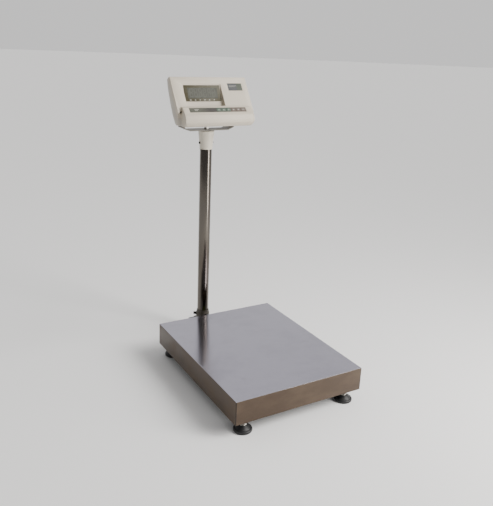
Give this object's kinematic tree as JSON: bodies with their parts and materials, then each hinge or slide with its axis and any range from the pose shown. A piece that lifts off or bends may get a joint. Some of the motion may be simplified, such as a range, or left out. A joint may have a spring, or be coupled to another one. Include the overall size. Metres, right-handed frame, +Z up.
{
  "type": "bench scale",
  "caption": "Platform bench scale with a steel tray on a load cell, levelling feet and a rear column with a tilting display head.",
  "frame": {"origin": "on the floor under the centre of the whole object's plan, from the tray's front edge to the column bracket's rear edge", "axes": "+Z up, +X to the operator's right, -Y towards the operator, who stands at the tray's front"},
  "size_m": [0.4, 0.6341, 0.8533],
  "materials": {
    "stainless_brushed": "brushed stainless sheet",
    "frame_paint": "dark grey painted steel tube",
    "buffer_rubber": "black rubber",
    "zinc_steel": "zinc plated fastener",
    "load_cell_aluminium": "machined aluminium",
    "black_plastic": "black moulded plastic",
    "foot_rubber": "black rubber",
    "level_acrylic": "yellow green spirit level",
    "flange_metal": "dark casting",
    "black_oxide": "black oxide steel",
    "tube_polished": "polished stainless tube",
    "neck_plastic": "cream plastic",
    "bracket_paint": "cream painted sheet steel",
    "case_plastic_rear": "warm grey plastic with a fine grain",
    "case_plastic_front": "warm grey plastic with a fine grain",
    "display_lens": "dark grey window",
    "lcd_glass": "grey green liquid crystal panel",
    "circuit_board": "green circuit board",
    "overlay_print": "printed key overlay",
    "key_green": "muted green key",
    "key_brown": "muted red brown key",
    "label_print": "blue grey blank label",
    "battery_wrap": "dark blue battery pack",
    "transformer_core": "transformer core and winding",
    "panel_metal": "plated steel panel",
    "connector_shell": "nickel plated shell",
    "rocker_red": "red rocker"
  },
  "bodies": {
    "base": {"load_cell": "load_cell_aluminium", "cell_fixed_bolts": "zinc_steel", "base_side_rails": "frame_paint", "base_cross_rails": "frame_paint", "base_cell_plate": "frame_paint", "rail_end_caps": "black_plastic", "overload_stops": "zinc_steel", "foot_weld_nuts": "zinc_steel", "foot_jam_nuts": "zinc_steel", "column_bracket": "frame_paint", "bracket_bolts": "zinc_steel", "bubble_level": "level_acrylic", "column_flange": "flange_metal", "flange_bolts": "black_oxide", "socket_screws": "black_oxide", "column_tube": "tube_polished", "neck": "neck_plastic", "neck_screws": "black_oxide", "swivel_washer": "black_plastic", "swivel_bolt": "zinc_steel"},
    "platform": {"tray": "stainless_brushed", "upper_side_rails": "frame_paint", "upper_end_rails": "frame_paint", "upper_cell_plate": "frame_paint", "tray_buffers": "buffer_rubber", "cell_live_bolts": "zinc_steel"},
    "swivel_bracket": {"head_bracket": "bracket_paint", "tilt_bolts": "zinc_steel", "tilt_nuts": "zinc_steel"},
    "indicator": {"rear_case": "case_plastic_rear", "front_case": "case_plastic_front", "case_screws": "zinc_steel", "display_window": "display_lens", "lcd_module": "lcd_glass", "main_board": "circuit_board", "key_overlay": "overlay_print", "key_board": "circuit_board", "label_plate": "label_print", "battery": "battery_wrap", "transformer": "transformer_core", "connector_panel": "panel_metal", "mains_inlet": "black_plastic", "fuse_holder": "black_plastic", "cell_connector": "connector_shell", "power_switch": "black_plastic"},
    "rocker": {"power_rocker": "rocker_red"},
    "foot_front_left": {"foot_stud_front_left": "zinc_steel", "foot_pad_front_left": "foot_rubber"},
    "foot_front_right": {"foot_stud_front_right": "zinc_steel", "foot_pad_front_right": "foot_rubber"},
    "foot_rear_left": {"foot_stud_rear_left": "zinc_steel", "foot_pad_rear_left": "foot_rubber"},
    "foot_rear_right": {"foot_stud_rear_right": "zinc_steel", "foot_pad_rear_right": "foot_rubber"},
    "key_body_1": {"key_1": "key_green"},
    "key_body_2": {"key_2": "key_green"},
    "key_body_3": {"key_3": "key_green"},
    "key_body_4": {"key_4": "key_brown"},
    "key_body_5": {"key_5": "key_brown"},
    "key_body_6": {"key_6": "key_brown"}
  },
  "joints": [
    {"name": "weighing_deflection", "type": "slide", "parent": "base", "child": "platform", "axis": [0, 0, -1], "range_m": [0, 0.0005], "stiffness_N_per_m": 4000000, "deforming": ["load_cell"]},
    {"name": "level_foot_front_left", "type": "slide", "parent": "base", "child": "foot_front_left", "axis": [0, 0, -1], "range_m": [-0.006, 0.01]},
    {"name": "level_foot_front_right", "type": "slide", "parent": "base", "child": "foot_front_right", "axis": [0, 0, -1], "range_m": [-0.006, 0.01]},
    {"name": "level_foot_rear_left", "type": "slide", "parent": "base", "child": "foot_rear_left", "axis": [0, 0, -1], "range_m": [-0.006, 0.01]},
    {"name": "level_foot_rear_right", "type": "slide", "parent": "base", "child": "foot_rear_right", "axis": [0, 0, -1], "range_m": [-0.006, 0.01]},
    {"name": "head_swivel", "type": "hinge", "parent": "base", "child": "swivel_bracket", "pos_m": [0, 0.281, 0.692], "axis": [0, 0, 1], "range_deg": [-90, 90]},
    {"name": "head_tilt", "type": "hinge", "parent": "swivel_bracket", "child": "indicator", "pos_m": [0, 0.278, 0.738], "axis": [1, 0, 0], "range_deg": [-20, 20]},
    {"name": "key_press_1", "type": "slide", "parent": "indicator", "child": "key_body_1", "axis": [0, 0.6959, -0.7181], "range_m": [0, 0.0005], "stiffness_N_per_m": 3000},
    {"name": "key_press_2", "type": "slide", "parent": "indicator", "child": "key_body_2", "axis": [0, 0.6959, -0.7181], "range_m": [0, 0.0005], "stiffness_N_per_m": 3000},
    {"name": "key_press_3", "type": "slide", "parent": "indicator", "child": "key_body_3", "axis": [0, 0.6959, -0.7181], "range_m": [0, 0.0005], "stiffness_N_per_m": 3000},
    {"name": "key_press_4", "type": "slide", "parent": "indicator", "child": "key_body_4", "axis": [0, 0.6959, -0.7181], "range_m": [0, 0.0005], "stiffness_N_per_m": 3000},
    {"name": "key_press_5", "type": "slide", "parent": "indicator", "child": "key_body_5", "axis": [0, 0.6959, -0.7181], "range_m": [0, 0.0005], "stiffness_N_per_m": 3000},
    {"name": "key_press_6", "type": "slide", "parent": "indicator", "child": "key_body_6", "axis": [0, 0.6959, -0.7181], "range_m": [0, 0.0005], "stiffness_N_per_m": 3000},
    {"name": "power_rock", "type": "hinge", "parent": "indicator", "child": "rocker", "pos_m": [0.046, 0.24057, 0.73132], "axis": [0, 0.5519, 0.8339], "range_deg": [-16, 0]}
  ]
}
